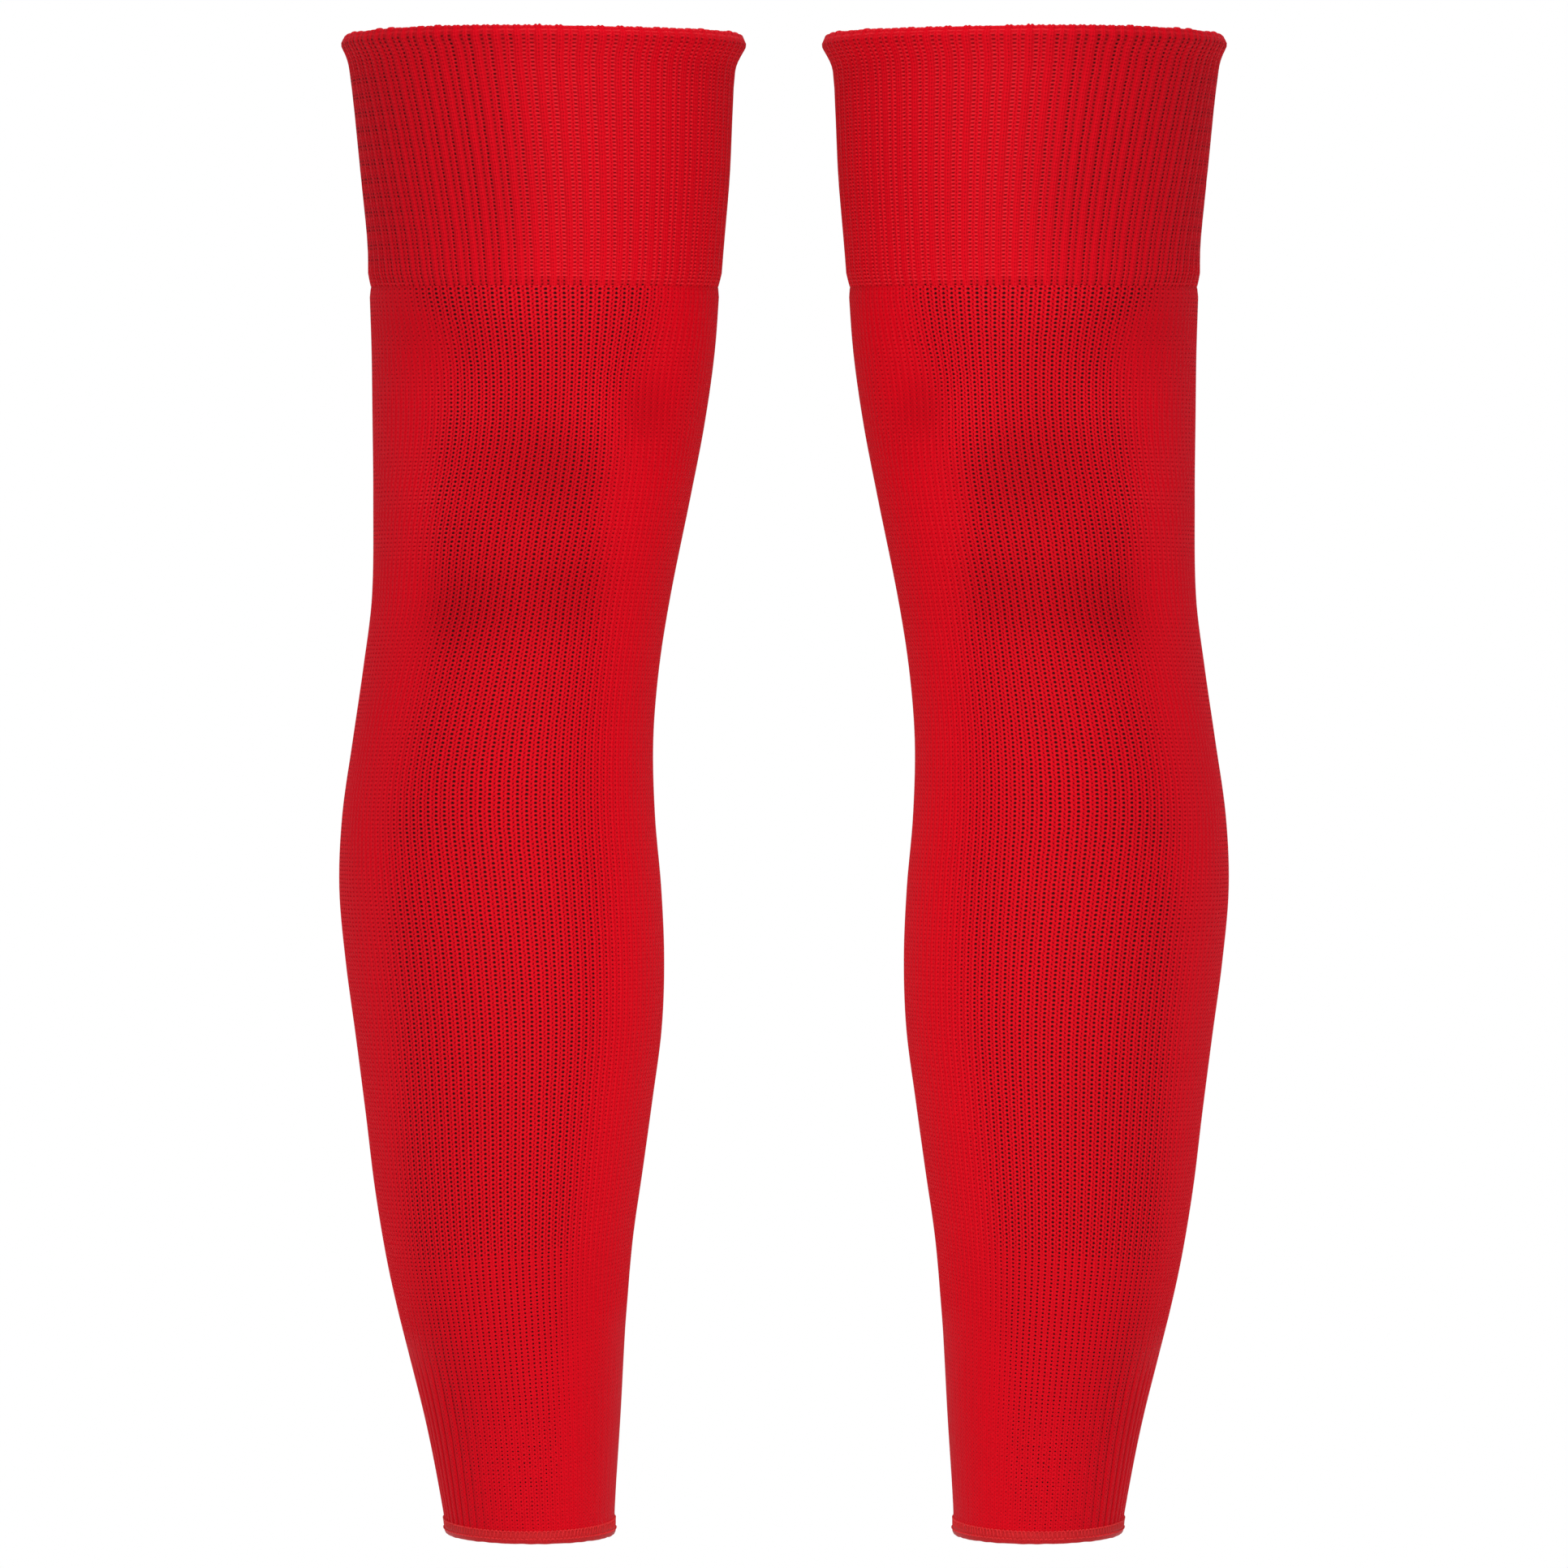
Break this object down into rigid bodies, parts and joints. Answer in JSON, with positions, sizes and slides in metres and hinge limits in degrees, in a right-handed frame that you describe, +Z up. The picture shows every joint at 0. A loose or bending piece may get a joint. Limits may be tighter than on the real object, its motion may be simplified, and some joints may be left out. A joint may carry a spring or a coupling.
{
  "type": "pair of leg warmers",
  "caption": "Hollow pair of footless mesh-knit leg warmers, filled out as if worn, with double ribbed cuffs above the knee and ribbed, overlocked ankle hems.",
  "frame": {"origin": "midway between the two legs, at half the height of the cuffs, where the wearer's thighs hold the pair up", "axes": "+Z up along the legs, -Y to the wearer's front, +X to the wearer's left"},
  "size_m": [0.3326, 0.1507, 0.5599],
  "materials": {
    "cuff_rib_knit": "matte ribbed knit, double layer",
    "leg_mesh_knit": "matte open mesh knit",
    "ankle_rib_knit": "matte fine rib knit",
    "hem_thread": "matte overlock thread"
  },
  "bodies": {
    "root": {"cuff_left": "cuff_rib_knit", "cuff_right": "cuff_rib_knit", "leg_left": "leg_mesh_knit", "leg_right": "leg_mesh_knit", "ankle_left": "ankle_rib_knit", "ankle_right": "ankle_rib_knit", "hem_left": "hem_thread", "hem_right": "hem_thread"}
  },
  "joints": []
}
